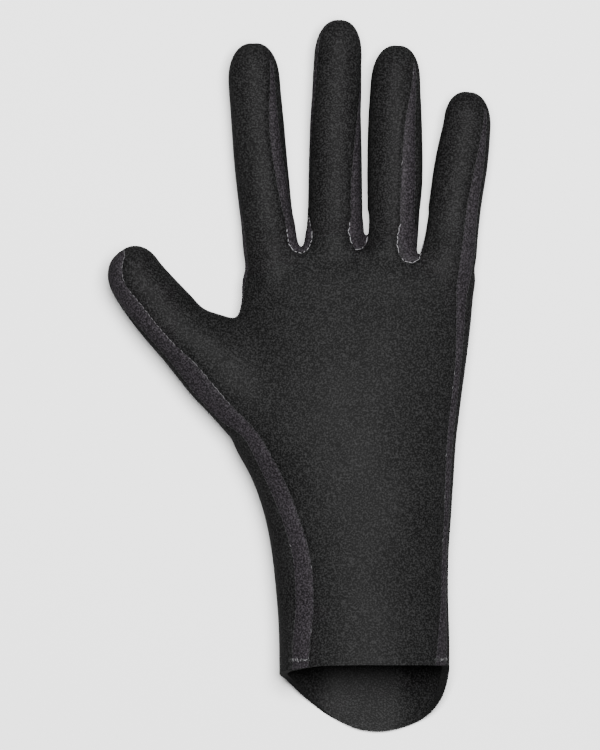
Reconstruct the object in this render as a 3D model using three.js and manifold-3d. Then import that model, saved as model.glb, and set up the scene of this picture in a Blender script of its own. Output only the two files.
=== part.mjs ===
// A left-hand neoprene glove, lying on its back with the palm up.
// A palm panel and a back panel of laminated foam are joined by narrow strips beside and between the fingers.
// x runs across the hand towards the little finger, y from the wrist hem to the fingertips, z up from the surface.
// Sizes are in millimetres and angles in degrees.
import * as THREE from "three";
import { mergeVertices } from "three/addons/utils/BufferGeometryUtils.js";
import Module from "manifold-3d";

// The foam sheet with its knit faces, and the line left open where two panels butt together.
const sheetThickness = 2.5;
const seamGap = 0.3;

// The middle of the whole glove from the middle of the palm hem: the origin lies under it.
const gloveMiddle = { x: -24.0, y: 116.5 };

// How square a section's corners are: 2 is an ellipse.
const fullness = 2.2;
const sidesOutside = { hand: 36, finger: 16 };
const sidesInside = { hand: 24, finger: 12 };

const named = (columns, table) =>
  table.map((row) => Object.fromEntries(columns.map((name, i) => [name, row[i]])));

// Sections of the wrist and hand, from the hem to the finger roots: the left and right edges, the underside and top,
// and the angles of the strips' seams round the section from the top, negative towards the thumb.
// hemShare is how far the section follows the hem's curve.
const handSections = named(
  ["y", "left", "right", "bottom", "top", "thumbFront", "thumbBack", "littleFront", "littleBack", "hemShare"],
  [
    [0.0, -31.8, 35.8, -1.6, 42.0, -40, -57, 56, 75, 1.0],
    [10.4, -32.0, 35.0, -1.6, 41.5, -38, -56, 60, 77, 0.55],
    [26.4, -33.0, 34.2, -1.6, 40.5, -33, -50, 66, 80, 0.2],
    [44.4, -34.8, 34.4, -1.6, 40.0, -33, -49, 68, 81, 0.0],
    [60.4, -37.8, 35.6, -1.6, 39.5, -38, -55, 67, 79, 0.0],
    [75.0, -42.8, 36.8, -1.6, 39.0, -42, -60, 66, 77, 0.0],
    [90.0, -50.4, 38.4, -1.6, 38.0, -46, -62, 66, 77, 0.0],
    [105.6, -52.4, 40.4, -1.6, 36.6, -84, -106, 66, 76, 0.0],
    [121.0, -52.0, 42.5, -1.4, 34.6, -84, -106, 65, 74, 0.0],
    [135.0, -49.4, 44.3, -1.2, 32.0, -84, -106, 61, 72, 0.0],
    [147.0, -47.0, 45.4, -0.8, 29.4, -84, -106, 58, 70, 0.0],
    [157.0, -46.2, 46.3, 0.0, 27.2, -84, -106, 57, 70, 0.0],
  ],
);
const handEnd = { y: 166.0, widthShare: 0.9, depthShare: 0.78 };

// How far the hem runs on past the palm's straight edge: a rounded tongue behind the wrist.
// Angles go round the section from the top, by way of the little-finger side and the underside.
const hem = named(
  ["angle", "drop"],
  [
    [0, 0.0],
    [60, 0.0],
    [90, 1.0],
    [115, 13.0],
    [135, 20.6],
    [160, 26.2],
    [180, 27.0],
    [200, 22.4],
    [220, 14.8],
    [245, 6.3],
    [270, 3.3],
    [301, 1.6],
    [330, 0.0],
    [360, 0.0],
  ],
);

// Sections of each finger from inside the hand to where the round tip starts, with the centre, width and depth.
// turn is how far the panels are turned round the finger: positive shows the strip on the little-finger side.
const fingerColumns = ["x", "y", "z", "width", "depth", "turn"];
const fingers = {
  index: {
    sections: named(fingerColumns, [
      [-33.0, 146.0, 13.4, 19.0, 20.0, 6],
      [-34.7, 166.4, 12.8, 23.4, 25.0, 10],
      [-37.0, 178.4, 12.6, 20.8, 21.2, 16],
      [-38.8, 194.4, 12.4, 21.2, 19.4, 30],
      [-40.5, 214.4, 13.2, 21.0, 18.6, 40],
      [-42.2, 234.0, 14.8, 20.8, 17.4, 38],
    ]),
    tip: [-43.0, 249.4, 16.0],
  },
  middle: {
    sections: named(fingerColumns, [
      [-10.4, 148.0, 13.4, 22.0, 22.0, 10],
      [-10.3, 169.6, 12.8, 25.6, 25.4, 14],
      [-9.7, 180.4, 12.6, 21.8, 21.6, 22],
      [-9.8, 198.4, 12.4, 21.0, 19.6, 21],
      [-9.5, 222.4, 13.4, 20.2, 18.6, 2],
      [-8.5, 244.0, 15.2, 19.0, 17.2, -16],
    ]),
    tip: [-7.8, 258.8, 16.4],
  },
  ring: {
    sections: named(fingerColumns, [
      [11.4, 146.0, 13.4, 20.0, 21.0, 30],
      [12.8, 167.4, 12.8, 21.4, 24.6, 40],
      [13.5, 177.2, 12.6, 20.4, 21.2, 42],
      [14.2, 194.4, 12.4, 21.6, 19.4, 48],
      [14.3, 216.4, 13.4, 21.4, 18.6, 45],
      [14.4, 234.0, 15.0, 19.6, 17.4, 34],
    ]),
    tip: [15.0, 248.4, 16.2],
  },
  little: {
    sections: named(fingerColumns, [
      [31.6, 143.0, 13.4, 18.0, 19.0, 26],
      [34.8, 163.2, 12.6, 23.8, 23.8, 30],
      [36.9, 173.6, 12.2, 21.6, 20.6, 32],
      [38.6, 186.4, 12.2, 20.8, 18.8, 34],
      [41.0, 202.4, 13.2, 20.8, 17.8, 33],
      [43.1, 217.0, 14.6, 19.0, 16.6, 34],
    ]),
    tip: [43.6, 230.0, 15.6],
  },
  thumb: {
    sections: named(fingerColumns, [
      [-28.0, 84.0, 16.8, 20.0, 22.0, -30],
      [-38.2, 97.0, 16.4, 26.4, 28.0, -30],
      [-45.8, 108.6, 16.4, 31.0, 30.0, -30],
      [-54.6, 119.2, 16.4, 33.0, 29.0, -31],
      [-61.0, 126.4, 16.4, 32.4, 28.0, -31],
      [-70.4, 133.0, 16.8, 25.8, 26.0, -33],
      [-76.8, 140.0, 17.2, 25.0, 24.4, -35],
      [-83.2, 147.4, 17.8, 24.0, 22.2, -37],
      [-89.4, 155.4, 18.8, 22.6, 20.2, -41],
    ]),
    tip: [-95.2, 166.2, 19.8],
  },
};

// The panels' share of each of those sections, and of the first round ring of the tip: the angle from the middle of
// the palm panel to its seam, and the angle of the strip between the palm and the back.
const panelShares = named(
  ["palm", "strip"],
  [
    [56, 44],
    [56, 44],
    [57, 43],
    [60, 36],
    [64, 28],
    [76, 15],
    [85, 9],
  ],
);
const tipRings = [30, 55, 75];
const bluntness = 0.85;

// The strips' lowest points between two fingers, and the height of the back seam and the front seam there.
const forks = named(
  ["x", "y", "backZ", "frontZ"],
  [
    [-23.0, 167.6, 7.6, 19.6],
    [2.6, 171.0, 6.6, 18.6],
    [23.0, 163.6, 8.2, 20.4],
  ],
);
const thumbWeb = { x: -52.2, y: 138.3, backZ: 9.0, frontZ: 16.8 };
// The strip's route round the fork of the thumb: points of the surface and the way that each faces in plan.
const thumbFork = named(
  ["x", "y", "facing", "backZ", "frontZ"],
  [
    [-48.6, 141.4, 165, 9.4, 16.4],
    [-50.6, 138.8, 120, 9.0, 16.8],
    [-54.4, 138.9, 75, 8.6, 17.0],
    [-59.4, 141.1, 55, 8.2, 17.0],
  ],
);

// The hand's section beside the root of the index finger, and the first section of each digit that a strip follows.
const indexRootRow = 10;
const handRowsOfThumbStrip = 7;
const firstRows = { thumbOuter: 2, thumbInner: 6, littleOuter: 1, indexOuter: 1, pastFork: 2 };

// How far a strip's cutting shape stands out of the surface and reaches into the wall: beside a finger,
// where two fingers part, round the fork of the thumb and beside the hand.
const fingerReach = { outward: 1.3, inward: 4.4 };
const narrowReach = { outward: 0.5, inward: 4.4 };
const forkReach = { outward: 1.6, inward: 8.0 };
const handReach = { outward: 2.6, inward: 5.5 };
// How far the strips' shapes run on past the hem, the hollow past the hem, and the tip's slit out of the surface
// and past the tip.
const pastHemReach = 12;
const mouthReach = 40;
const slitReach = { outward: 1.5, forward: 2.4 };

// The steps from a fork up to the digits' third sections, and how far the strips' sides start inside their web.
// How far round a tip's curve the line between palm and back starts. The size of the webs that close the forks.
const forkSteps = [0, 0.25, 0.5, 0.75];
const forkTuck = 0.6;
const seamStart = 16;
const forkWeb = { halfWidth: 7.2, below: 10, above: 4.5 };
const thumbWebSize = { halfWidth: 7, below: 9, above: 4.5 };

const radians = THREE.MathUtils.degToRad;
const mix = THREE.MathUtils.lerp;
const rounded = (share) => Math.sign(share) * Math.abs(share) ** (2 / fullness);

const wasm = await Module();
wasm.setup();

// A closed mesh as a solid, with its faces turned outwards.
function solidOf(geometry) {
  geometry.deleteAttribute("normal");
  geometry.deleteAttribute("uv");
  const merged = mergeVertices(geometry, 1e-4);
  const corners = merged.index.array;
  const [a, b, c] = [0, 1, 2].map(() => new THREE.Vector3());
  let volume = 0;
  for (let i = 0; i < corners.length; i += 3) {
    [a, b, c].forEach((corner, k) => corner.fromBufferAttribute(merged.attributes.position, corners[i + k]));
    volume += a.dot(b.cross(c));
  }
  const triVerts = Uint32Array.from(volume < 0 ? corners.toReversed() : corners);
  const vertProperties = Float32Array.from(merged.attributes.position.array);
  return new wasm.Manifold(new wasm.Mesh({ numProp: 3, vertProperties, triVerts }));
}

// A skin through closed rings of points, with a point in the middle of each end.
function loft(rings, startPoint = middleOf(rings[0]), endPoint = middleOf(rings.at(-1))) {
  const sides = rings[0].length;
  const tube = new THREE.CylinderGeometry(1, 1, rings.length - 1, sides, rings.length - 1);
  const places = tube.attributes.position;
  for (let i = 0; i < places.count; i += 1) {
    const row = Math.round(places.getY(i) + (rings.length - 1) / 2);
    const turn = Math.atan2(places.getX(i), places.getZ(i)) / (2 * Math.PI);
    const onAxis = Math.hypot(places.getX(i), places.getZ(i)) < 0.5;
    const side = (Math.round(turn * sides) + sides) % sides;
    const place = onAxis ? (row === 0 ? startPoint : endPoint) : rings[row][side];
    places.setXYZ(i, place.x, place.y, place.z);
  }
  return solidOf(tube);
}

function middleOf(ring) {
  return ring.reduce((sum, point) => sum.add(point), new THREE.Vector3()).divideScalar(ring.length);
}

// The height of the hem's curve at an angle round the wrist.
function hemDrop(angle) {
  const after = Math.max(1, hem.findIndex((row) => row.angle >= angle));
  const [low, high] = [hem[after - 1], hem[after]];
  return mix(low.drop, high.drop, (angle - low.angle) / (high.angle - low.angle));
}

// A point at an angle round a section, moved out of its surface, or into it where outset is negative.
function pointOn(section, angle, outset = 0) {
  const share = { across: rounded(Math.sin(radians(angle))), up: rounded(Math.cos(radians(angle))) };
  const point = section.centre.clone();
  point.addScaledVector(section.across, share.across * (section.width / 2 + outset));
  point.z += share.up * (section.depth / 2 + outset);
  if (section.hemShare) point.y -= section.hemShare * hemDrop((angle + 360) % 360);
  return point;
}

const ringOf = (section, sides, outset) =>
  Array.from({ length: sides }, (_, i) => pointOn(section, (360 * i) / sides, outset));

// The hand's sections as centres and sizes.
const hand = handSections.map((row) => ({
  ...row,
  centre: new THREE.Vector3((row.left + row.right) / 2, row.y, (row.bottom + row.top) / 2),
  across: new THREE.Vector3(1, 0, 0),
  width: row.right - row.left,
  depth: row.top - row.bottom,
}));

// A finger's sections as centres and sizes, followed by the rings that round off its tip.
function placed(finger) {
  const tip = new THREE.Vector3(...finger.tip);
  const centres = finger.sections.map((row) => new THREE.Vector3(row.x, row.y, row.z));
  const sections = finger.sections.map((row, i) => {
    const way = (centres[i + 1] ?? tip).clone().sub(centres[Math.max(i - 1, 0)]);
    const across = new THREE.Vector3(way.y, -way.x, 0).normalize();
    const share = panelShares.at(Math.max(i - finger.sections.length - 1, -panelShares.length));
    return { ...row, ...share, centre: centres[i], across };
  });
  const digit = { sections, tip };
  return { ...digit, cap: tipRings.map((angle) => roundTip(digit, angle)) };
}

// The section at an angle round a tip's curve, from 0 at the last section to 90 at the tip.
function roundTip({ sections, tip }, angle) {
  const last = sections.at(-1);
  const share = Math.cos(radians(angle)) ** bluntness;
  return {
    ...last,
    ...panelShares.at(-1),
    centre: last.centre.clone().lerp(tip, Math.sin(radians(angle))),
    width: last.width * share,
    depth: last.depth * share,
  };
}
const digits = Object.fromEntries(Object.entries(fingers).map(([name, finger]) => [name, placed(finger)]));

// The outer form, or the hollow inside the wall where inset is the wall's thickness.
function handForm(inset, sides) {
  const last = hand.at(-1);
  const end = {
    ...last,
    centre: last.centre.clone().setY(handEnd.y - inset),
    width: last.width * handEnd.widthShare,
    depth: last.depth * handEnd.depthShare,
  };
  const rings = [...hand, end].map((section) => ringOf(section, sides, -inset));
  if (inset > 0) {
    const outside = { ...hand[0], centre: hand[0].centre.clone().setY(-mouthReach), hemShare: 0 };
    rings.unshift(ringOf(outside, sides, -inset));
  }
  return loft(rings);
}

function digitForm({ sections, cap, tip }, inset, sides) {
  const last = sections.at(-1);
  const rings = sections.map((section) => ringOf(section, sides, -inset));
  const reach = 1 - inset / tip.distanceTo(last.centre);
  for (const section of cap) {
    const share = section.width / last.width;
    const centre = last.centre.clone().lerp(section.centre, reach);
    rings.push(ringOf({ ...section, centre }, sides, -inset * share));
  }
  return loft(rings, middleOf(rings[0]), last.centre.clone().lerp(tip, reach));
}

function wholeForm(inset, sides) {
  let form = handForm(inset, sides.hand);
  for (const digit of Object.values(digits)) form = form.add(digitForm(digit, inset, sides.finger));
  return form;
}

// Everything below a height, as a block.
function below(z) {
  const block = new THREE.BoxGeometry(600, 600, 100);
  block.translate(0, 100, z - 50);
  return solidOf(block);
}

// A strip's section between two angles, as six points: three outside the surface and three inside the wall.
function stripAt(section, front, back, reach) {
  const middle = (front + back) / 2;
  const [out, into] = [reach.outward, -reach.inward];
  return [
    pointOn(section, front, out),
    pointOn(section, middle, out),
    pointOn(section, back, out),
    pointOn(section, back, into),
    pointOn(section, middle, into),
    pointOn(section, front, into),
  ];
}

// The same six points where the strip runs round a fork, at a point of the surface that faces a way in plan.
function stripAtFork(fork, facing, margin, reach) {
  const way = new THREE.Vector3(Math.cos(radians(facing)), Math.sin(radians(facing)), 0);
  const heights = [fork.frontZ + margin, (fork.frontZ + fork.backZ) / 2, fork.backZ - margin];
  return [...heights, ...heights.toReversed()].map((z, i) =>
    new THREE.Vector3(fork.x, fork.y, z).addScaledVector(way, i < heights.length ? reach.outward : -reach.inward),
  );
}

// The angle that a margin beside a seam takes at a section.
const marginAngle = (section, margin) => (margin / (section.depth / 2)) * (180 / Math.PI);

// The strip along one side of a digit, from the root up to the tip; margin widens it past its seams.
function stripAlong(digit, side, firstRow, margin) {
  const sections = [...digit.sections.slice(firstRow), digit.cap[0]];
  const rings = sections.map((section) => {
    const extra = marginAngle(section, margin);
    const front = side * (section.palm - side * section.turn - extra);
    const back = side * (section.palm - side * section.turn + section.strip + extra);
    return stripAt(section, front, back, fingerReach);
  });
  if (margin > 0) {
    const forward = digit.tip.clone().sub(digit.sections.at(-1).centre).setLength(2 * margin);
    rings.push(rings.at(-1).map((point) => point.clone().add(forward)));
  }
  return rings;
}

// The strip along one side of the hand, from the hem up.
function stripBeside(rows, frontColumn, backColumn, margin, reach = handReach) {
  return rows.map((section) => {
    const side = Math.sign(section[frontColumn]);
    const extra = side * marginAngle(section, margin);
    return stripAt(section, section[frontColumn] - extra, section[backColumn] + extra, reach);
  });
}

const pastHem = (rings) => [rings[0].map((point) => point.clone().setY(point.y - pastHemReach)), ...rings];

// Each strip's cutting shape, as it is, or wider by margin to open the panels for it.
const strips = {
  thumb_side_strip: (margin) =>
    loft([
      ...pastHem(stripBeside(hand.slice(0, handRowsOfThumbStrip), "thumbFront", "thumbBack", margin)),
      ...stripAlong(digits.thumb, -1, firstRows.thumbOuter, margin),
    ]),
  little_side_strip: (margin) =>
    loft([
      ...pastHem(stripBeside(hand.slice(0, -1), "littleFront", "littleBack", margin)),
      ...stripAlong(digits.little, 1, firstRows.littleOuter, margin),
    ]),
  thumb_index_gusset: (margin) =>
    loft([
      ...stripAlong(digits.index, -1, firstRows.indexOuter, margin).toReversed(),
      ...stripBeside([hand[indexRootRow]], "thumbFront", "thumbBack", margin, fingerReach),
      ...thumbFork.map((fork) => stripAtFork(fork, fork.facing, margin, forkReach)),
      ...stripAlong(digits.thumb, 1, firstRows.thumbInner, margin),
    ]).add(web(thumbWeb, thumbWebSize, margin)),
  index_middle_gusset: (margin) => forkGusset(digits.index, forks[0], digits.middle, margin),
  middle_ring_gusset: (margin) => forkGusset(digits.middle, forks[1], digits.ring, margin),
  ring_little_gusset: (margin) => forkGusset(digits.ring, forks[2], digits.little, margin),
};

// The strip between two fingers: down the side of one, through the fork and up the side of the other.
function forkGusset(before, fork, after, margin) {
  const band = (digit, side) =>
    loft([
      ...forkSteps.map((step) => stripFromFork(digit, side, fork, step, margin)),
      ...stripAlong(digit, side, firstRows.pastFork, margin),
    ]);
  return web(fork, forkWeb, margin).add(band(before, 1)).add(band(after, -1));
}

// The part of a strip that closes a fork, from one hollow through to the other.
function web(fork, size, margin) {
  const height = fork.frontZ - fork.backZ + 2 * margin;
  const block = new THREE.BoxGeometry(2 * size.halfWidth, size.below + size.above, height);
  block.translate(fork.x, fork.y + (size.above - size.below) / 2, (fork.frontZ + fork.backZ) / 2);
  return solidOf(block);
}

// The strip on one side of a digit at a step up from the fork, where its seams have the fork's heights,
// to the digit's third section, where they have its angles.
function stripFromFork(digit, side, fork, step, margin) {
  const [low, high] = digit.sections.slice(firstRows.pastFork - 1);
  const section = { ...low, centre: low.centre.clone().lerp(high.centre, step) };
  for (const size of ["width", "depth"]) section[size] = mix(low[size], high[size], step);
  const angleAt = (z) => {
    const share = (z - section.centre.z) / (section.depth / 2);
    return (Math.acos(Math.sign(share) * Math.abs(share) ** (fullness / 2)) * 180) / Math.PI;
  };
  const extra = marginAngle(section, margin);
  const palmAngle = high.palm - side * high.turn;
  const front = mix(angleAt(fork.frontZ - forkTuck), palmAngle, step) - extra;
  const back = mix(angleAt(fork.backZ + forkTuck), palmAngle + high.strip, step) + extra;
  return stripAt(section, side * front, side * back, step < 0.5 ? narrowReach : fingerReach);
}

// The line that parts palm and back over a digit's tip, between the points of its two strips.
function tipSeam(digit) {
  const ends = [-1, 1].map((side) => side * (panelShares.at(-1).palm + panelShares.at(-1).strip / 2));
  const rings = [roundTip(digit, seamStart), ...digit.cap].map((section) => {
    const half = marginAngle(section, seamGap / 2);
    const angles = ends.flatMap((end) => [end - section.turn - half, end - section.turn + half]);
    return angles.map((angle) => pointOn(section, angle, slitReach.outward));
  });
  const forward = digit.tip.clone().sub(digit.cap.at(-1).centre).setLength(slitReach.forward);
  rings.push(rings.at(-1).map((point) => point.clone().add(forward)));
  return loft(rings);
}

// The sheet of the whole glove, open at the wrist and flat where it lies on its back.
const sheet = wholeForm(0, sidesOutside)
  .subtract(below(0))
  .subtract(wholeForm(sheetThickness, sidesInside).subtract(below(sheetThickness)));

let panels = sheet;
for (const strip of Object.values(strips)) panels = panels.subtract(strip(seamGap / 2));
for (const digit of Object.values(digits)) panels = panels.subtract(tipSeam(digit));

// The two large pieces that are left, the palm above the back.
const [back, palm] = panels
  .decompose()
  .sort((a, b) => b.volume() - a.volume())
  .slice(0, 2)
  .sort((a, b) => a.boundingBox().min[2] - b.boundingBox().min[2]);

// The palm and back are a fleecy knit, the strips a smoother one with a hint of purple.
const knit = { color: "#303031", roughness: 0.92, metalness: 0 };
const smoothKnit = { color: "#3d3a40", roughness: 0.8, metalness: 0 };

const glove = new THREE.Group();
glove.position.set(-gloveMiddle.x, -gloveMiddle.y, 0);

function addPiece(name, solid, look) {
  const { vertProperties, triVerts } = solid.getMesh();
  const geometry = new THREE.BufferGeometry();
  geometry.setAttribute("position", new THREE.BufferAttribute(vertProperties, 3));
  geometry.setIndex(new THREE.BufferAttribute(triVerts, 1));
  const piece = new THREE.Mesh(geometry, new THREE.MeshStandardMaterial(look));
  piece.name = name;
  glove.add(piece);
}

addPiece("palm_panel", palm, knit);
addPiece("back_panel", back, knit);
for (const [name, strip] of Object.entries(strips)) addPiece(name, sheet.intersect(strip(-seamGap / 2)), smoothKnit);

export default glove;
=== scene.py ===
import math

import bmesh
import bpy
from mathutils import Matrix, Vector, kdtree, noise
from mathutils.bvhtree import BVHTree


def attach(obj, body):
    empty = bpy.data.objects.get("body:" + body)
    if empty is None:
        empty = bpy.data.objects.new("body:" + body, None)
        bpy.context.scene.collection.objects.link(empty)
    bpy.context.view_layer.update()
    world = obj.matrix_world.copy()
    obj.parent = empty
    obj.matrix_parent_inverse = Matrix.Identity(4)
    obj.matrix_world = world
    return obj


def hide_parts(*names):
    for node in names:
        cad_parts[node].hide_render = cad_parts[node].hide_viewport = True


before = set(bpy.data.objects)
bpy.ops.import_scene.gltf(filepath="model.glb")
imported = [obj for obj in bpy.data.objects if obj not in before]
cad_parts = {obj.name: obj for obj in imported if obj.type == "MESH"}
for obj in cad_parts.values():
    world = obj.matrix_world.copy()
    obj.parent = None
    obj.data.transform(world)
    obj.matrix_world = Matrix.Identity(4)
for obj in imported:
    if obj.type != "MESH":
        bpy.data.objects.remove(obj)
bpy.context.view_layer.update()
mm = 0.001

# Camera
# It looks straight down on the palm from four metres up, with a long lens, so that the sides of the fingers
# hardly show. One pixel of the picture is 0.4 mm at the height of the palm.
picture_height = 750
pixel = 0.4 * mm
palm_height = 17 * mm
camera_height = 4.0
view_centre = (0.2 * mm, -0.1 * mm)
lens = bpy.data.cameras.new("camera")
lens.sensor_width = 36
lens.lens = lens.sensor_width * (camera_height - palm_height) / (picture_height * pixel)
camera = bpy.data.objects.new("camera", lens)
camera.location = (*view_centre, camera_height)
bpy.context.scene.collection.objects.link(camera)
bpy.context.scene.camera = camera

# The form of the hand and fingers
# The glove is cut from foam sheet 2.5 mm thick and keeps the form of a hand, its back flat where it lies.
# Each part of the form is a skin over sections, whose centres and sizes are in the tables, in millimetres.
sheet_thickness = 2.5 * mm
glove_middle = Vector((-24.0, 116.5, 0)) * mm
fullness = 2.2
hand_sides, finger_sides, curve_steps = 72, 32, 5
run_on = 45 * mm


def named(columns, rows):
    return [dict(zip(columns.split(), row)) for row in rows]


hand_sections = named(
    "y left right bottom top thumb_front thumb_back little_front little_back hem_share",
    [
        (0.0, -31.8, 35.8, -1.6, 42.0, -40, -57, 56, 75, 1.0),
        (10.4, -32.0, 35.7, -1.6, 41.5, -38, -56, 60, 77, 0.55),
        (26.4, -33.0, 35.2, -1.6, 40.5, -33, -50, 66, 80, 0.2),
        (44.4, -34.8, 35.5, -1.6, 40.0, -33, -49, 68, 81, 0.0),
        (60.4, -37.8, 36.6, -1.6, 39.5, -38, -55, 67, 79, 0.0),
        (75.0, -42.8, 37.5, -1.6, 39.0, -42, -60, 66, 77, 0.0),
        (90.0, -50.4, 38.4, -1.6, 38.0, -46, -62, 66, 77, 0.0),
        (105.6, -52.4, 40.4, -1.6, 36.6, -84, -106, 66, 76, 0.0),
        (121.0, -52.0, 42.5, -1.4, 34.6, -84, -106, 65, 74, 0.0),
        (135.0, -49.4, 44.3, -1.2, 32.0, -84, -106, 61, 72, 0.0),
        (147.0, -47.0, 45.4, -0.8, 29.4, -84, -106, 58, 70, 0.0),
        (157.0, -46.2, 46.3, 0.0, 27.2, -84, -106, 57, 70, 0.0),
    ],
)
hand_end = {"y": 166.0 * mm, "width_share": 0.9, "depth_share": 0.78}
hem = named(
    "angle drop",
    [(0, -1.1), (60, -0.6), (90, 1.0), (115, 13.0), (135, 20.6), (160, 26.0), (180, 26.2)]
    + [(200, 21.4), (220, 13.8), (245, 5.9), (270, 3.1), (301, 1.2), (330, -0.6), (360, -1.1)],
)
finger_columns = "x y z width depth turn"
fingers = {
    "index": [
        (-33.0, 146.0, 13.4, 19.0, 20.0, 6),
        (-34.7, 166.4, 12.8, 23.4, 25.0, 10),
        (-37.0, 178.4, 12.6, 20.8, 21.2, 16),
        (-38.8, 194.4, 12.4, 21.2, 19.4, 30),
        (-40.5, 214.4, 13.2, 21.0, 18.6, 40),
        (-42.2, 234.0, 14.8, 20.8, 17.4, 38),
    ],
    "middle": [
        (-10.4, 148.0, 13.4, 22.0, 22.0, 10),
        (-10.3, 169.6, 12.8, 25.6, 25.4, 14),
        (-9.7, 180.4, 12.6, 21.8, 21.6, 22),
        (-9.8, 198.4, 12.4, 21.0, 19.6, 21),
        (-9.5, 222.4, 13.4, 20.2, 18.6, 2),
        (-8.5, 244.0, 15.2, 19.0, 17.2, -16),
    ],
    "ring": [
        (11.4, 146.0, 13.4, 20.0, 21.0, 30),
        (12.8, 167.4, 12.8, 21.4, 24.6, 40),
        (13.5, 177.2, 12.6, 20.4, 21.2, 42),
        (14.2, 194.4, 12.4, 21.6, 19.4, 48),
        (14.3, 216.4, 13.4, 21.4, 18.6, 45),
        (14.4, 234.0, 15.0, 19.6, 17.4, 34),
    ],
    "little": [
        (31.6, 143.0, 13.4, 18.0, 19.0, 26),
        (34.8, 163.2, 12.6, 23.8, 23.8, 30),
        (36.9, 173.6, 12.2, 21.6, 20.6, 32),
        (38.6, 186.4, 12.2, 20.8, 18.8, 34),
        (41.0, 202.4, 13.2, 20.8, 17.8, 33),
        (43.1, 217.0, 14.6, 19.0, 16.6, 34),
    ],
    "thumb": [
        (-28.0, 84.0, 16.8, 20.0, 22.0, -30),
        (-38.2, 97.0, 16.4, 26.4, 28.0, -30),
        (-45.8, 108.6, 16.4, 31.0, 30.0, -30),
        (-54.6, 119.2, 16.4, 33.0, 29.0, -31),
        (-61.0, 126.4, 16.4, 32.4, 28.0, -31),
        (-70.4, 133.0, 16.8, 25.8, 26.0, -33),
        (-76.8, 140.0, 17.2, 25.0, 24.4, -35),
        (-83.2, 147.4, 17.8, 24.0, 22.2, -37),
        (-89.4, 155.4, 18.8, 22.6, 20.2, -41),
    ],
}
finger_tips = {
    "index": (-43.0, 249.4, 16.0),
    "middle": (-7.8, 258.8, 16.4),
    "ring": (15.0, 248.4, 16.2),
    "little": (43.6, 230.0, 15.6),
    "thumb": (-95.2, 166.2, 19.8),
}
# The palm panel's half and the strip's share of each section, in degrees, up to the first ring of the tip.
panel_shares = named("palm strip", [(56, 44), (56, 44), (57, 43), (60, 36), (64, 28), (76, 15), (85, 9)])
tip_rings = (30, 55, 75)
tip_form_rings = (12, 24, 36, 48, 58, 67, 75, 82, 87)
bluntness = 0.85


def rounded(share):
    return math.copysign(abs(share) ** (2 / fullness), share)


def hem_drop(angle):
    """How far past the palm's hem the edge lies at an angle, on a smooth curve through the table."""
    after = next(i for i, row in enumerate(hem) if row["angle"] >= angle and i > 0)
    before, low, high, beyond = (hem[min(max(after + k, 0), len(hem) - 1)] for k in (-2, -1, 0, 1))
    span = high["angle"] - low["angle"]
    s = (angle - low["angle"]) / span
    start = (high["drop"] - before["drop"]) / (high["angle"] - before["angle"]) * span
    end = (beyond["drop"] - low["drop"]) / (beyond["angle"] - low["angle"]) * span
    drop = low["drop"] * (2 * s**3 - 3 * s**2 + 1) + start * (s**3 - 2 * s**2 + s)
    drop += high["drop"] * (3 * s**2 - 2 * s**3) + end * (s**3 - s**2)
    return drop * mm


def point_on(section, angle, outset=0.0):
    """A point at an angle round a section from its top, out of its surface by outset."""
    turn = math.radians(angle)
    point = section["centre"] + section["across"] * rounded(math.sin(turn)) * (section["width"] / 2 + outset)
    point.z += rounded(math.cos(turn)) * (section["depth"] / 2 + outset)
    point.y -= section.get("hem_share", 0) * hem_drop(angle % 360)
    return point


def ring_of(section, sides, outset=0.0):
    return [point_on(section, 360 * i / sides, outset) for i in range(sides)]


hand = [
    {
        **row,
        "centre": Vector((row["left"] + row["right"], 2 * row["y"], row["bottom"] + row["top"])) * mm / 2
        - glove_middle,
        "across": Vector((1, 0, 0)),
        "width": (row["right"] - row["left"]) * mm,
        "depth": (row["top"] - row["bottom"]) * mm,
    }
    for row in hand_sections
]


def digit_of(name):
    """A finger's sections as centres and sizes, and its tip."""
    rows = named(finger_columns, fingers[name])
    tip = Vector(finger_tips[name]) * mm - glove_middle
    centres = [Vector((row["x"], row["y"], row["z"])) * mm - glove_middle for row in rows]
    sections = []
    for i, row in enumerate(rows):
        way = (centres + [tip])[i + 1] - centres[max(i - 1, 0)]
        share = panel_shares[max(i - len(rows) - 1, -len(panel_shares))]
        sections.append(
            {
                **share,
                "turn": row["turn"],
                "centre": centres[i],
                "across": Vector((way.y, -way.x, 0)).normalized(),
                "width": row["width"] * mm,
                "depth": row["depth"] * mm,
            }
        )
    return {"sections": sections, "tip": tip}


def round_tip(digit, angle):
    """The section at an angle round a tip's curve, from 0 at the last section to 90 at the tip."""
    last = digit["sections"][-1]
    share = math.cos(math.radians(angle)) ** bluntness
    centre = last["centre"].lerp(digit["tip"], math.sin(math.radians(angle)))
    sizes = {"width": last["width"] * share, "depth": last["depth"] * share}
    return {**last, **panel_shares[-1], **sizes, "centre": centre}


digits = {name: digit_of(name) for name in fingers}


def bend(a, b, c, d, share):
    """A point between b and c on a curve that comes from a and goes on to d."""
    span = max((c - b).length, 1e-9)
    start = (c - a) * span / ((b - a).length + span)
    end = (d - b) * span / ((d - c).length + span)
    s = share
    return (
        b * (2 * s**3 - 3 * s**2 + 1)
        + start * (s**3 - 2 * s**2 + s)
        + c * (3 * s**2 - 2 * s**3)
        + end * (s**3 - s**2)
    )


def curved(rings, steps=curve_steps):
    """Rings of points with more between them, on curves through them."""
    more = []
    for i in range(len(rings) - 1):
        around = [rings[min(max(k, 0), len(rings) - 1)] for k in (i - 1, i, i + 1, i + 2)]
        more += [[bend(*points, step / steps) for points in zip(*around)] for step in range(steps)]
    return more + [rings[-1]]


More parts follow.
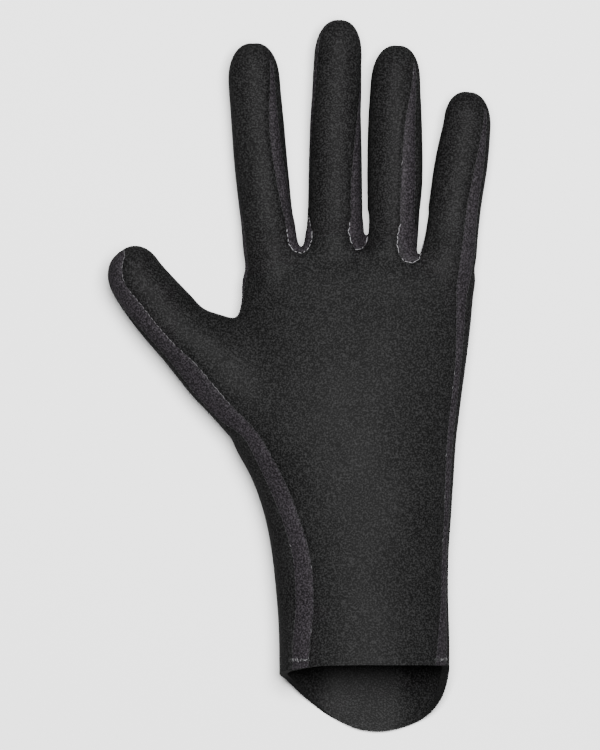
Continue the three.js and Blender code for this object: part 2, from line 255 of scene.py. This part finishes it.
def skin(bm, rings):
    """Adds a closed skin over rings of points to bm."""
    sides, rows = len(rings[0]), len(rings) - 1
    made = bmesh.ops.create_grid(bm, x_segments=sides, y_segments=rows, size=0.5)["verts"]
    for vert in made:
        column, row = round((vert.co.x + 0.5) * sides), round((vert.co.y + 0.5) * rows)
        vert.co = rings[row][column % sides]
    bmesh.ops.remove_doubles(bm, verts=made, dist=1e-7)
    rims = [edge for edge in bm.edges if edge.is_boundary]
    bmesh.ops.holes_fill(bm, edges=rims)
    bmesh.ops.recalc_face_normals(bm, faces=bm.faces)


def solid(name, *skins):
    """A mesh object made of closed skins, each given as its rings."""
    bm = bmesh.new()
    for rings in skins:
        skin(bm, rings)
    return object_of(bm, name)


def object_of(bm, name):
    mesh = bpy.data.meshes.new(name)
    bm.to_mesh(mesh)
    bm.free()
    made = bpy.data.objects.new(name, mesh)
    bpy.context.scene.collection.objects.link(made)
    return made


def applied(piece):
    """Puts a piece's modifiers into its mesh."""
    bpy.context.view_layer.update()
    shown = piece.evaluated_get(bpy.context.evaluated_depsgraph_get())
    mesh = bpy.data.meshes.new_from_object(shown)
    piece.modifiers.clear()
    piece.data = mesh
    return piece


def remeshed(piece, voxel):
    modifier = piece.modifiers.new("remesh", "REMESH")
    modifier.mode = "VOXEL"
    modifier.voxel_size = voxel
    return applied(piece)


def hand_rings():
    last = hand[-1]
    end = {
        **last,
        "centre": Vector((last["centre"].x, hand_end["y"] - glove_middle.y, last["centre"].z)),
        "width": last["width"] * hand_end["width_share"],
        "depth": last["depth"] * hand_end["depth_share"],
    }
    straight = [{**section, "hem_share": 0} for section in [*hand, end]]
    outside = {**straight[0], "centre": straight[0]["centre"] - Vector((0, run_on, 0))}
    return curved([ring_of(section, hand_sides) for section in [outside, *straight]])


def digit_rings(digit):
    rings = curved([ring_of(section, finger_sides) for section in digit["sections"]])
    return rings + [ring_of(round_tip(digit, angle), finger_sides) for angle in tip_form_rings]


def softened(piece, rounds, near=None, reach=0.0, above=0.0):
    """Evens out a piece's surface, all of it or what lies near a place in plan and above a height."""
    bm = bmesh.new()
    bm.from_mesh(piece.data)
    verts = [
        vert
        for vert in bm.verts
        if near is None or (vert.co.xy - near.xy).length < reach and vert.co.z > above
    ]
    for _ in range(rounds):
        bmesh.ops.smooth_vert(bm, verts=verts, factor=0.5, use_axis_x=True, use_axis_y=True, use_axis_z=True)
    bm.to_mesh(piece.data)
    bm.free()


def cut(piece, operation, cutter, keep=False):
    modifier = piece.modifiers.new("cut", "BOOLEAN")
    modifier.operation = operation
    modifier.solver = "MANIFOLD"
    modifier.object = cutter
    applied(piece)
    if not keep:
        bpy.data.objects.remove(cutter)
    return piece


first_voxel, outer_voxel, inner_voxel = 0.9 * mm, 0.8 * mm, 1.4 * mm
first_softening, last_softening = 10, 4
form = solid("form", hand_rings(), *[digit_rings(digit) for digit in digits.values()])
remeshed(form, first_voxel)
softened(form, first_softening)

# The forks between the fingers
# The glove parts between the fingers in narrow gaps with round ends, open from palm to back.
# Each gap's outline in plan, in millimetres, is cut straight through the form, and its rim is then softened.
fork_gaps = [
    [(-26.4, 181.0), (-26.1, 177.4), (-25.6, 173.0), (-24.8, 169.0), (-23.9, 167.3), (-22.7, 167.3)]
    + [(-22.0, 168.6), (-21.4, 172.4), (-20.7, 176.1), (-20.4, 181.0)],
    [(0.7, 182.0), (1.2, 178.4), (1.6, 173.8), (2.0, 171.0), (2.8, 169.7)]
    + [(3.6, 171.0), (4.0, 174.2), (4.1, 182.0)],
    [(23.9, 184.0), (23.5, 176.4), (23.0, 170.0), (22.6, 165.8), (22.7, 163.5), (23.5, 162.3), (24.4, 163.5)]
    + [(24.9, 166.0), (26.4, 171.3), (27.3, 176.4), (28.2, 182.0)],
]
gap_heights = (-20 * mm, 60 * mm)
thumb_gap_softening = {"near": Vector((-52.2, 138.3, 0)) * mm - glove_middle, "reach": 13 * mm, "rounds": 40}
thumb_root_softening = {"near": Vector((-45, 118, 0)) * mm - glove_middle, "reach": 30 * mm, "rounds": 120}
thumb_root_softening["above"] = 24 * mm


def path_through(points, steps=4):
    """Points in plan on a smooth curve through a table of places in millimetres."""
    rings = curved([[Vector((x, y, 0)) * mm - glove_middle] for x, y in points], steps)
    return [ring[0] for ring in rings]


def upright(path, low, high):
    """The rings of a block with a path as its outline in plan, from one height to another."""
    return [[Vector((point.x, point.y, z)) for point in path] for z in (low, high)]


for gap in fork_gaps:
    cut(form, "DIFFERENCE", solid("gap", upright(path_through(gap), *gap_heights)))
remeshed(form, outer_voxel)
softened(form, last_softening)
softened(form, **thumb_gap_softening)
softened(form, **thumb_root_softening)

# The seams' lines
# Panels and strips are butted edge to edge, glued, and blind-stitched, so the knit dips along each seam.
# Each strip's cutting shape follows its two seams; the seams' points also carry the dip and the thread.
finger_reach = (1.3 * mm, 4.4 * mm)
narrow_reach = (0.5 * mm, 4.4 * mm)
fork_reach = (1.6 * mm, 8.0 * mm)
hand_reach = (2.6 * mm, 5.5 * mm)
forks = named(
    "x y back_z front_z",
    [(-23.0, 167.6, 7.6, 19.6), (2.6, 171.0, 6.6, 18.6), (23.0, 163.6, 8.2, 20.4)],
)
thumb_web = dict(zip("x y back_z front_z".split(), (-52.2, 138.3, 9.0, 16.8)))
thumb_fork = named(
    "x y facing back_z front_z",
    [
        (-48.6, 141.4, 165, 9.4, 16.4),
        (-50.6, 138.8, 120, 9.0, 16.8),
        (-54.4, 138.9, 75, 8.6, 17.0),
        (-59.4, 141.1, 55, 8.2, 17.0),
    ],
)
fork_steps = (0, 0.25, 0.5, 0.75)
fork_tuck = 0.6 * mm
# The side strip's two edges along the thumb, as angles, from its third section to the rings of its tip.
thumb_edge = named(
    "front back",
    [(-26, -70), (-25, -69), (-25, -66), (-24, -62), (-24, -64)]
    + [(-23, -72), (-25, -88), (-16, -96), (3, -98), (14, -98)],
)
# Where a gusset's seams turn round below each fork, in plan, on the palm and on the back.
palm_turns = [
    [(-29.9, 178.8), (-29.0, 174.1), (-28.2, 169.0), (-26.4, 166.3), (-23.8, 165.2), (-21.2, 166.2)]
    + [(-19.6, 168.9), (-19.0, 172.6), (-19.8, 177.0), (-20.4, 180.4)],
    [(-3.1, 180.4), (-4.3, 174.5), (-3.9, 171.6), (-2.9, 168.6), (-1.2, 166.6), (0.8, 167.0)]
    + [(2.3, 168.6), (3.0, 170.8), (3.1, 174.0), (3.1, 178.0)],
    [(16.5, 177.2), (15.4, 173.0), (15.1, 168.4), (15.8, 165.2), (17.2, 162.6), (19.6, 161.4), (22.2, 161.7)]
    + [(24.0, 163.3), (25.0, 167.0), (26.1, 171.0), (26.3, 173.6)],
]
back_turns = [
    [(-26.6, 178.4), (-26.5, 173.5), (-26.2, 168.6), (-25.0, 165.8), (-22.9, 164.9), (-20.6, 166.0)]
    + [(-19.2, 169.4), (-18.8, 174.5), (-19.1, 180.4)],
    [(1.0, 180.4), (1.2, 176.0), (1.0, 172.0), (1.6, 169.6), (3.2, 168.6)]
    + [(5.0, 169.4), (6.3, 172.4), (6.9, 177.2)],
    [(22.3, 177.2), (22.0, 172.0), (21.5, 166.6), (21.8, 162.8), (23.4, 161.0), (25.6, 162.0), (27.4, 165.6)]
    + [(28.4, 169.6), (28.7, 173.6)],
]
turn_heights = {"palm": (15 * mm, 45 * mm), "back": (-15 * mm, 10 * mm)}
fork_web = {"half_width": 7.2 * mm, "below": 10 * mm, "above": 4.5 * mm}
thumb_web_size = {"half_width": 7 * mm, "below": 9 * mm, "above": 4.5 * mm}
past_hem = 60 * mm
index_root_row, thumb_strip_rows = 10, 7
strip_margin = 0.02 * mm
slit_rings = (16, *tip_rings, 88)
slit_outset, slit_past_tip = 1.5 * mm, 3 * mm


def strip_at(section, front, back, reach):
    """A strip's section between two angles: three points outside the surface and three in the wall."""
    middle = (front + back) / 2
    outside = [point_on(section, angle, reach[0]) for angle in (front, middle, back)]
    return outside + [point_on(section, angle, -reach[1]) for angle in (back, middle, front)]


def strip_at_fork(fork, margin):
    way = math.radians(fork["facing"])
    middle = (fork["front_z"] + fork["back_z"]) / 2 * mm
    heights = [fork["front_z"] * mm + margin, middle, fork["back_z"] * mm - margin]
    points = []
    for i, z in enumerate(heights + heights[::-1]):
        out = fork_reach[0] if i < len(heights) else -fork_reach[1]
        place = Vector((fork["x"] * mm, fork["y"] * mm, z)) - glove_middle
        points.append(place + Vector((math.cos(way), math.sin(way), 0)) * out)
    return points


def margin_angle(section, margin):
    return math.degrees(margin / (section["depth"] / 2))


def strip_round_thumb(margin):
    """The thumb side strip from the hand to the thumb's tip, where it widens and lies over the tip's edge."""
    thumb = digits["thumb"]
    sections = [*thumb["sections"][2:], *[round_tip(thumb, angle) for angle in tip_rings]]
    rows = [{**section, **edges} for section, edges in zip(sections, thumb_edge)]
    return strip_beside(rows, "front", "back", margin)


def strip_along(digit, side, first, margin):
    rings = []
    for section in [*digit["sections"][first:], round_tip(digit, tip_rings[0])]:
        extra = margin_angle(section, margin)
        front = side * (section["palm"] - side * section["turn"] - extra)
        back = side * (section["palm"] - side * section["turn"] + section["strip"] + extra)
        rings.append(strip_at(section, front, back, finger_reach))
    return rings


def strip_beside(rows, front, back, margin, reach=hand_reach):
    rings = []
    for section in rows:
        extra = math.copysign(margin_angle(section, margin), section[back])
        rings.append(strip_at(section, section[front] - extra, section[back] + extra, reach))
    return rings


def past_the_hem(rings):
    return [[point - Vector((0, past_hem, 0)) for point in rings[0]], *rings]


def strip_from_fork(digit, side, fork, step, margin):
    """The strip at a step from a fork, at the fork's heights, to the finger's third section."""
    low, high = digit["sections"][1:3]
    section = {**low, "centre": low["centre"].lerp(high["centre"], step)}
    for size in ("width", "depth"):
        section[size] = low[size] + (high[size] - low[size]) * step

    def angle_at(z):
        share = (z - section["centre"].z) / (section["depth"] / 2)
        return math.degrees(math.acos(math.copysign(abs(share) ** (fullness / 2), share)))

    extra = margin_angle(section, margin)
    palm = high["palm"] - side * high["turn"]
    from_front = angle_at(fork["front_z"] * mm - fork_tuck)
    from_back = angle_at(fork["back_z"] * mm + fork_tuck)
    front = from_front + (palm - from_front) * step - extra
    back = from_back + (palm + high["strip"] - from_back) * step + extra
    return strip_at(section, side * front, side * back, narrow_reach if step < 0.5 else finger_reach)


def web(fork, size, margin):
    """The part of a strip that closes a fork, from hollow to hollow, as the rings of a block."""
    x, y = fork["x"] * mm, fork["y"] * mm
    low, high = fork["back_z"] * mm - margin, fork["front_z"] * mm + margin
    corners = [(-1, low), (1, low), (1, high), (-1, high)]
    return [
        [Vector((x + side * size["half_width"], y + reach, z)) - glove_middle for side, z in corners]
        for reach in (-size["below"], size["above"])
    ]


def turn_block(table, heights, margin):
    """The part of a gusset below its fork on one face, as the rings of a block."""
    path = path_through(table)
    middle = sum(path, Vector()) / len(path)
    return upright([point + (point - middle).normalized() * margin for point in path], *heights)


def fork_bands(before, number, after, margin):
    """A gusset's bands up its two fingers and the blocks that join them round the fork."""
    fork, bands = forks[number], []
    for digit, side in ((before, 1), (after, -1)):
        steps = [strip_from_fork(digit, side, fork, step, margin) for step in fork_steps]
        bands.append(steps + strip_along(digit, side, 2, margin))
    joining = [
        web(fork, fork_web, margin),
        turn_block(palm_turns[number], turn_heights["palm"], margin),
        turn_block(back_turns[number], turn_heights["back"], margin),
    ]
    return bands, joining


def strip_bands(margin):
    """Each strip's bands, as rings of six points, and the blocks that join them round its fork."""
    thumb, index, middle, ring, little = (digits[n] for n in ("thumb", "index", "middle", "ring", "little"))
    thumb_side = strip_beside(hand[:thumb_strip_rows], "thumb_front", "thumb_back", margin)
    little_side = strip_beside(hand[:-1], "little_front", "little_back", margin)
    index_root = strip_beside([hand[index_root_row]], "thumb_front", "thumb_back", margin, finger_reach)
    around_thumb_fork = [strip_at_fork(fork, margin) for fork in thumb_fork]
    thumb_index = strip_along(index, -1, 1, margin)[::-1] + index_root + around_thumb_fork
    return {
        "thumb_side_strip": ([thumb_side + strip_round_thumb(margin)], []),
        "little_side_strip": ([little_side + strip_along(little, 1, 1, margin)], []),
        "thumb_index_gusset": (
            [thumb_index + strip_along(thumb, 1, 6, margin)],
            [web(thumb_web, thumb_web_size, margin)],
        ),
        "index_middle_gusset": fork_bands(index, 0, middle, margin),
        "middle_ring_gusset": fork_bands(middle, 1, ring, margin),
        "ring_little_gusset": fork_bands(ring, 2, little, margin),
    }


def strip_solid(name, margin):
    bands, joining = strip_bands(margin)[name]
    if name in ("thumb_side_strip", "little_side_strip"):
        bands = [past_the_hem(band) for band in bands]
    shapes = [solid(name + "_shape", rings) for rings in [*[curved(band) for band in bands], *joining]]
    for shape in shapes[1:]:
        cut(shapes[0], "UNION", shape)
    return shapes[0]


def tip_slit(digit, half_width):
    """The thin blade that parts palm and back over a tip, between the ends of its two strips."""
    rings = []
    ends = [side * (panel_shares[-1]["palm"] + panel_shares[-1]["strip"] / 2) for side in (-1, 1)]
    for angle in slit_rings:
        section = round_tip(digit, angle)
        half = margin_angle(section, half_width)
        angles = [end - section["turn"] + step for end in ends for step in (-half, half)]
        rings.append([point_on(section, angle, slit_outset) for angle in angles])
    forward = (digit["tip"] - digit["sections"][-1]["centre"]).normalized() * slit_past_tip
    return rings + [[point + forward for point in rings[-1]]]


# The wall
# The outer face dips along the seams; the inner face lies one sheet's thickness inside it.
dip = {"depth": 0.45 * mm, "half_width": 1.6 * mm}
swell = {"height": 0.35 * mm, "length": 26 * mm}
plumpness = 0.25 * mm
lining_softening = {"near": Vector((2, -12, 0)) * mm - glove_middle, "reach": 42 * mm, "rounds": 60}
seam_steps = 16
turn_steps = 8
over_palm, under_back, in_hollow = 60 * mm, -20 * mm, 13 * mm
hem_cut_outsets = (-8 * mm, 8 * mm)


def tree_of(piece):
    bm = bmesh.new()
    bm.from_mesh(piece.data)
    tree = BVHTree.FromBMesh(bm)
    bm.free()
    return tree


def on_skin(outside, inside_point):
    """The skin's point and normal between two points, or None where the skin isn't there."""
    way = inside_point - outside
    place, normal, _, _ = skin_tree.ray_cast(outside, way, way.length)
    return None if place is None else (place, normal)


def seam_lines():
    """Every seam's points and normals on the skin, by its strip, its band or turn, and its side."""
    lines = {}
    for name, (bands, joining) in strip_bands(0).items():
        hidden = len(fork_steps) * seam_steps if len(bands) > 1 else 0
        for number, band in enumerate(bands):
            rings = curved(band, seam_steps)
            lines[name, number, "front"] = [on_skin(ring[0], ring[5]) for ring in rings[hidden:]]
            lines[name, number, "back"] = [on_skin(ring[2], ring[3]) for ring in rings[hidden:]]
    for number, name in enumerate(("index_middle_gusset", "middle_ring_gusset", "ring_little_gusset")):
        for side, table, far in (("front", palm_turns, over_palm), ("back", back_turns, under_back)):
            path = path_through(table[number], turn_steps)
            rays = [(Vector((*point.xy, far)), Vector((*point.xy, in_hollow))) for point in path]
            lines[name, "turn", side] = [on_skin(*ray) for ray in rays]
    return lines


skin_tree = tree_of(form)
tip_seams = []
for digit in digits.values():
    for end in (-1, 1):
        angle = end * (panel_shares[-1]["palm"] + panel_shares[-1]["strip"] / 2)
        for turn in range(tip_rings[0], 90, 3):
            section = round_tip(digit, turn)
            tip_seams.append(point_on(section, angle - section["turn"]))
seam_points = [found[0] for line in seam_lines().values() for found in line if found] + tip_seams
seam_tree = kdtree.KDTree(len(seam_points))
for i, point in enumerate(seam_points):
    seam_tree.insert(point, i)
seam_tree.balance()
bm = bmesh.new()
bm.from_mesh(form.data)
bm.normal_update()
for vert, normal in [(v, v.normal.copy()) for v in bm.verts]:
    _, _, distance = seam_tree.find(vert.co)
    share = max(1 - (distance / dip["half_width"]) ** 2, 0) ** 2
    rise = plumpness + swell["height"] * noise.noise(vert.co / swell["length"]) - dip["depth"] * share
    vert.co += normal * rise
    vert.co.z = max(vert.co.z, 0)
bmesh.ops.smooth_vert(bm, verts=bm.verts, factor=0.5, use_axis_x=True, use_axis_y=True, use_axis_z=True)
bm.to_mesh(form.data)
skin_tree = BVHTree.FromBMesh(bm)
seams = seam_lines()
bm.normal_update()
for vert, normal in [(v, v.normal.copy()) for v in bm.verts]:
    vert.co -= normal * sheet_thickness
inside = object_of(bm, "inside")
remeshed(inside, inner_voxel)
softened(inside, **lining_softening)
lining_tree = tree_of(inside)
cut(form, "DIFFERENCE", inside)
hem_rings = [ring_of(hand[0], hand_sides * 2, outset) for outset in hem_cut_outsets]
hem_rings.append([point - Vector((0, past_hem * 2, 0)) for point in hem_rings[1]])
cut(form, "DIFFERENCE", solid("past_hem", hem_rings))

# The knit
# Both faces of the foam carry a fine fleecy jersey, and the strips a smoother one with a hint of purple.
# Its loops are too small to see one by one, so they show as a grain of lighter and darker fibres.


def group_socket(group, name, direction, kind, value=None):
    socket = group.interface.new_socket(name, in_out=direction, socket_type=kind)
    if value is not None:
        socket.default_value = value


def grain_group():
    group = bpy.data.node_groups.new("knit_grain", "ShaderNodeTree")
    group_socket(group, "Vector", "INPUT", "NodeSocketVector")
    group_socket(group, "Dark", "INPUT", "NodeSocketColor", (0.02, 0.02, 0.02, 1))
    group_socket(group, "Light", "INPUT", "NodeSocketColor", (0.05, 0.05, 0.05, 1))
    group_socket(group, "Grains per metre", "INPUT", "NodeSocketFloat", 1500)
    group_socket(group, "Color", "OUTPUT", "NodeSocketColor")
    group_socket(group, "Height", "OUTPUT", "NodeSocketFloat")
    nodes, links = group.nodes, group.links
    enter, leave = nodes.new("NodeGroupInput"), nodes.new("NodeGroupOutput")
    fine = nodes.new("ShaderNodeTexNoise")
    fine.inputs["Detail"].default_value = 1.5
    fine.inputs["Roughness"].default_value = 0.5
    links.new(enter.outputs["Vector"], fine.inputs["Vector"])
    links.new(enter.outputs["Grains per metre"], fine.inputs["Scale"])
    broad = nodes.new("ShaderNodeTexNoise")
    broad.inputs["Scale"].default_value = 60
    broad.inputs["Detail"].default_value = 4
    links.new(enter.outputs["Vector"], broad.inputs["Vector"])
    sharpen = nodes.new("ShaderNodeMapRange")
    sharpen.inputs["From Min"].default_value = 0.42
    sharpen.inputs["From Max"].default_value = 0.7
    links.new(fine.outputs["Fac"], sharpen.inputs["Value"])
    blend = nodes.new("ShaderNodeMix")
    blend.data_type = "FLOAT"
    blend.inputs["Factor"].default_value = 0.25
    links.new(sharpen.outputs["Result"], blend.inputs["A"])
    links.new(broad.outputs["Fac"], blend.inputs["B"])
    colour = nodes.new("ShaderNodeMix")
    colour.data_type = "RGBA"
    links.new(blend.outputs["Result"], colour.inputs["Factor"])
    links.new(enter.outputs["Dark"], colour.inputs["A"])
    links.new(enter.outputs["Light"], colour.inputs["B"])
    links.new(colour.outputs["Result"], leave.inputs["Color"])
    links.new(sharpen.outputs["Result"], leave.inputs["Height"])
    return group


knit_grain = grain_group()


def fabric(name, dark, light, grains, roughness, bump):
    material = bpy.data.materials.new(name)
    material.use_nodes = True
    nodes, links = material.node_tree.nodes, material.node_tree.links
    shader = nodes["Principled BSDF"]
    shader.inputs["Specular IOR Level"].default_value = 0.045
    # The nap scatters more light where the surface turns away, so the shine fades there.
    turned = nodes.new("ShaderNodeLayerWeight")
    turned.inputs["Blend"].default_value = 0.5
    nap = nodes.new("ShaderNodeMapRange")
    nap.inputs["From Max"].default_value = 0.4
    nap.inputs["To Min"].default_value = roughness
    nap.inputs["To Max"].default_value = 1.0
    links.new(turned.outputs["Facing"], nap.inputs["Value"])
    links.new(nap.outputs["Result"], shader.inputs["Roughness"])
    place = nodes.new("ShaderNodeTexCoord")
    grain = nodes.new("ShaderNodeGroup")
    grain.node_tree = knit_grain
    grain.inputs["Dark"].default_value = (*dark, 1)
    grain.inputs["Light"].default_value = (*light, 1)
    grain.inputs["Grains per metre"].default_value = grains
    links.new(place.outputs["Object"], grain.inputs["Vector"])
    relief = nodes.new("ShaderNodeBump")
    relief.inputs["Strength"].default_value = bump
    relief.inputs["Distance"].default_value = 0.055 * mm
    links.new(grain.outputs["Height"], relief.inputs["Height"])
    links.new(relief.outputs["Normal"], shader.inputs["Normal"])
    links.new(grain.outputs["Color"], shader.inputs["Base Color"])
    return material


black, charcoal = (0.0, 0.0, 0.0), (0.017, 0.017, 0.0172)
plum_black, plum = (0.002, 0.0018, 0.0021), (0.032, 0.0284, 0.0326)
foam_black, foam_grey = (0.001, 0.001, 0.001), (0.01, 0.01, 0.01)
jersey = fabric("jersey", black, charcoal, grains=1500, roughness=0.58, bump=1.0)
smooth_jersey = fabric("smooth_jersey", plum_black, plum, grains=1500, roughness=0.58, bump=1.0)
lining = fabric("lining", black, charcoal, grains=1500, roughness=0.48, bump=1.0)
foam_edge = fabric("foam_edge", foam_black, foam_grey, grains=2500, roughness=0.8, bump=0.4)
face_reach = 0.2 * mm
crease_angle = math.radians(40)


def dressed(piece, outer_look):
    """Gives a piece its knit outside, the lining inside and bare foam on its cut edges."""
    piece.data.materials.clear()
    for look in (outer_look, lining, foam_edge):
        piece.data.materials.append(look)
    for face in piece.data.polygons:
        outer_gap = skin_tree.find_nearest(face.center)[3]
        inner_gap = lining_tree.find_nearest(face.center)[3]
        face.material_index = 0 if outer_gap < face_reach else (1 if inner_gap < face_reach else 2)
    piece.data.polygons.foreach_set("use_smooth", [True] * len(piece.data.polygons))
    piece.data.set_sharp_from_angle(angle=crease_angle)


# The strips and gussets
# Narrow strips of the smoother knit join palm and back along both sides of the hand.
# The gussets run from fingertip to fingertip through each fork.
strip_cuts = named(
    "name width length area",
    [
        ("thumb_side_strip", 0.015, 0.225, 0.0019),
        ("little_side_strip", 0.012, 0.256, 0.0016),
        ("thumb_index_gusset", 0.024, 0.190, 0.0016),
        ("index_middle_gusset", 0.020, 0.168, 0.0016),
        ("middle_ring_gusset", 0.018, 0.160, 0.0015),
        ("ring_little_gusset", 0.020, 0.148, 0.0013),
    ],
)


def islands(piece):
    """A piece's separate parts, the largest first, each as a set of vertex numbers."""
    bm = bmesh.new()
    bm.from_mesh(piece.data)
    left, found = set(bm.verts), []
    while left:
        part, edge = set(), [left.pop()]
        while edge:
            vert = edge.pop()
            part.add(vert)
            for other in (link.other_vert(vert) for link in vert.link_edges):
                if other in left:
                    left.discard(other)
                    edge.append(other)
        found.append({vert.index for vert in part})
    bm.free()
    return sorted(found, key=len, reverse=True)


def part_of(piece, part, name):
    """A new piece made of some of another's vertices."""
    bm = bmesh.new()
    bm.from_mesh(piece.data)
    bmesh.ops.delete(bm, geom=[vert for vert in bm.verts if vert.index not in part], context="VERTS")
    return object_of(bm, name)


for strip in strip_cuts:
    whole = part_of(form, set(range(len(form.data.vertices))), "whole")
    cut(whole, "INTERSECT", strip_solid(strip["name"], -strip_margin))
    piece = part_of(whole, islands(whole)[0], strip["name"] + "_knit")
    bpy.data.objects.remove(whole)
    dressed(piece, smooth_jersey)
    strip["piece"] = piece
    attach(piece, "root")
    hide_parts(strip["name"])

# The palm and back panels
# The two large panels of fleecy knit are what the strips leave; over each fingertip they meet in one seam.
panel_cuts = named(
    "side width length area",
    [("palm", 0.160, 0.262, 0.0215), ("back", 0.250, 0.290, 0.0330)],
)
for strip in strip_cuts:
    cut(form, "DIFFERENCE", strip_solid(strip["name"], strip_margin))
for digit in digits.values():
    cut(form, "DIFFERENCE", solid("slit", tip_slit(digit, strip_margin)))
panel_parts = islands(form)[:2]
panel_parts.sort(key=lambda part: -sum(form.data.vertices[i].co.z for i in part) / len(part))
for panel, part in zip(panel_cuts, panel_parts):
    piece = part_of(form, part, panel["side"] + "_knit")
    dressed(piece, jersey)
    panel["piece"] = piece
    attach(piece, "root")
    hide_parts(panel["side"] + "_panel")
bpy.data.objects.remove(form)

# The seam thread
# Short blind stitches of charcoal thread sit in the dip of each seam and lean left and right in turn.
# Round the forks and along the thumb, patches of the thread are painted pale grey: painted glints.
stitch = {"pitch": 1.6 * mm, "length": 2.0 * mm, "width": 0.3 * mm, "height": 0.28 * mm, "lean": 0.22}
tack = {"pitch": 0.45 * mm, "length": 2.0 * mm, "width": 0.4 * mm, "height": 0.7 * mm, "lean": 1.1}
# Painted glints on the thread by seam side: the share of stitches painted pale, how pale, and the patch size.
painted_glints = named(
    "where share paleness patch",
    [
        ("turn", 0.66, 0.6, 2 * mm),
        ("thumb", 0.7, 0.2, 2 * mm),
        ("front", 0.12, 0.2, 2 * mm),
        ("back", 0.03, 0.2, 2 * mm),
        ("tack", 0.4, 0.3, 0.4 * mm),
    ],
)
painted_glints = {row["where"]: row for row in painted_glints}
thumb_rows = thumb_strip_rows * seam_steps
longest_step = 4 * mm


def stitched(bm, line, size, where):
    """Adds stitches of a size along a line of points and normals, a share of them painted pale as glints."""
    paleness = bm.verts.layers.float.get("paleness") or bm.verts.layers.float.new("paleness")
    walked, side = 0.0, 1
    for here, ahead in zip(line, line[1:]):
        if here is None or ahead is None or (ahead[0] - here[0]).length > longest_step:
            continue
        walked += (ahead[0] - here[0]).length
        if walked < size["pitch"]:
            continue
        walked, side = 0.0, -side
        place, normal = here
        along = (ahead[0] - place).normalized()
        lean = size["lean"] * (side + 1.6 * noise.noise(place / (0.5 * mm)))
        way = (along + normal.cross(along) * lean).normalized()
        length = size["length"] * (1 + 0.6 * noise.noise(place / (0.9 * mm)))
        shape = Matrix((way * length, normal.cross(way) * size["width"], normal * size["height"]))
        shape = Matrix.Translation(place) @ shape.transposed().to_4x4()
        # Pale stitches here stand in for glints on the thread: a painted highlight.
        glint_noise = noise.noise(place / painted_glints[where]["patch"]) * 0.7 + 0.5
        glints_here = glint_noise < painted_glints[where]["share"]
        made = bmesh.ops.create_uvsphere(bm, u_segments=6, v_segments=4, radius=0.5, matrix=shape)["verts"]
        for vert in made:
            vert[paleness] = glints_here * painted_glints[where]["paleness"]
            vert.co.z = max(vert.co.z, 0)


def thread_look():
    material = bpy.data.materials.new("thread")
    material.use_nodes = True
    nodes, links = material.node_tree.nodes, material.node_tree.links
    shader = nodes["Principled BSDF"]
    shader.inputs["Roughness"].default_value = 0.6
    shader.inputs["Specular IOR Level"].default_value = 0.3
    # The attribute mixes in a mottled pale grey, which paints glints on the thread.
    paleness = nodes.new("ShaderNodeAttribute")
    paleness.attribute_name = "paleness"
    place = nodes.new("ShaderNodeTexCoord")
    glint_mottle = nodes.new("ShaderNodeTexNoise")
    glint_mottle.inputs["Scale"].default_value = 900
    links.new(place.outputs["Object"], glint_mottle.inputs["Vector"])
    glint_colour = nodes.new("ShaderNodeMix")
    glint_colour.data_type = "RGBA"
    glint_colour.inputs["A"].default_value = (0.04, 0.038, 0.042, 1)
    glint_colour.inputs["B"].default_value = (0.5, 0.49, 0.51, 1)
    links.new(glint_mottle.outputs["Fac"], glint_colour.inputs["Factor"])
    colour = nodes.new("ShaderNodeMix")
    colour.data_type = "RGBA"
    colour.inputs["A"].default_value = (0.006, 0.006, 0.0065, 1)
    links.new(paleness.outputs["Fac"], colour.inputs["Factor"])
    links.new(glint_colour.outputs["Result"], colour.inputs["B"])
    links.new(colour.outputs["Result"], shader.inputs["Base Color"])
    return material


thread = thread_look()
tack_above_hem, tack_probe, tack_points = 2.9 * mm, 4 * mm, 60
tack_ends = {"thumb_side_strip": (-38, -60), "little_side_strip": (53, 78)}


def tack_line(front, back):
    """A line across a side strip, just above the hem, between two angles."""
    section = {**hand[0], "hem_share": 0, "centre": hand[0]["centre"] + Vector((0, tack_above_hem, 0))}
    angles = [front + (back - front) * i / tack_points for i in range(tack_points + 1)]
    outside = [point_on(section, angle, tack_probe) for angle in angles]
    inside_wall = [point_on(section, angle, -tack_probe) for angle in angles]
    return [on_skin(*ray) for ray in zip(outside, inside_wall)]


for strip in strip_cuts:
    name = strip["name"]
    bm = bmesh.new()
    for (seam, part, side), line in seams.items():
        if seam != name:
            continue
        if seam == "thumb_side_strip" and side == "front":
            stitched(bm, line[:thumb_rows], stitch, side)
            stitched(bm, line[thumb_rows:], stitch, "thumb")
        else:
            stitched(bm, line, stitch, "turn" if part == "turn" and side == "front" else side)
    if name in tack_ends:
        stitched(bm, tack_line(*tack_ends[name]), tack, "tack")
    bmesh.ops.recalc_face_normals(bm, faces=bm.faces)
    threads = object_of(bm, name + "_thread")
    threads.data.materials.append(thread)
    threads.data.polygons.foreach_set("use_smooth", [True] * len(threads.data.polygons))
    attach(threads, "root")

# The studio
# A plain white sheet lies under the glove, with one large soft light over it and a dim even light all round.
floor_bm = bmesh.new()
bmesh.ops.create_grid(floor_bm, x_segments=1, y_segments=1, size=3)
floor = object_of(floor_bm, "floor")
white = bpy.data.materials.new("white_floor")
white.use_nodes = True
white.node_tree.nodes["Principled BSDF"].inputs["Base Color"].default_value = (0.9, 0.9, 0.9, 1)
white.node_tree.nodes["Principled BSDF"].inputs["Roughness"].default_value = 0.9
floor.data.materials.append(white)

world = bpy.data.worlds.new("studio")
world.use_nodes = True
world.node_tree.nodes["Background"].inputs["Color"].default_value = (1, 1, 1, 1)
world.node_tree.nodes["Background"].inputs["Strength"].default_value = 0.14
bpy.context.scene.world = world
light = bpy.data.lights.new("softbox", "AREA")
light.size = 0.6
light.energy = 80
lamp = bpy.data.objects.new("softbox", light)
lamp.location = (0.1, 0.22, 1.5)
lamp.rotation_euler = (lamp.location * -1).to_track_quat("-Z", "Y").to_euler()
bpy.context.scene.collection.objects.link(lamp)
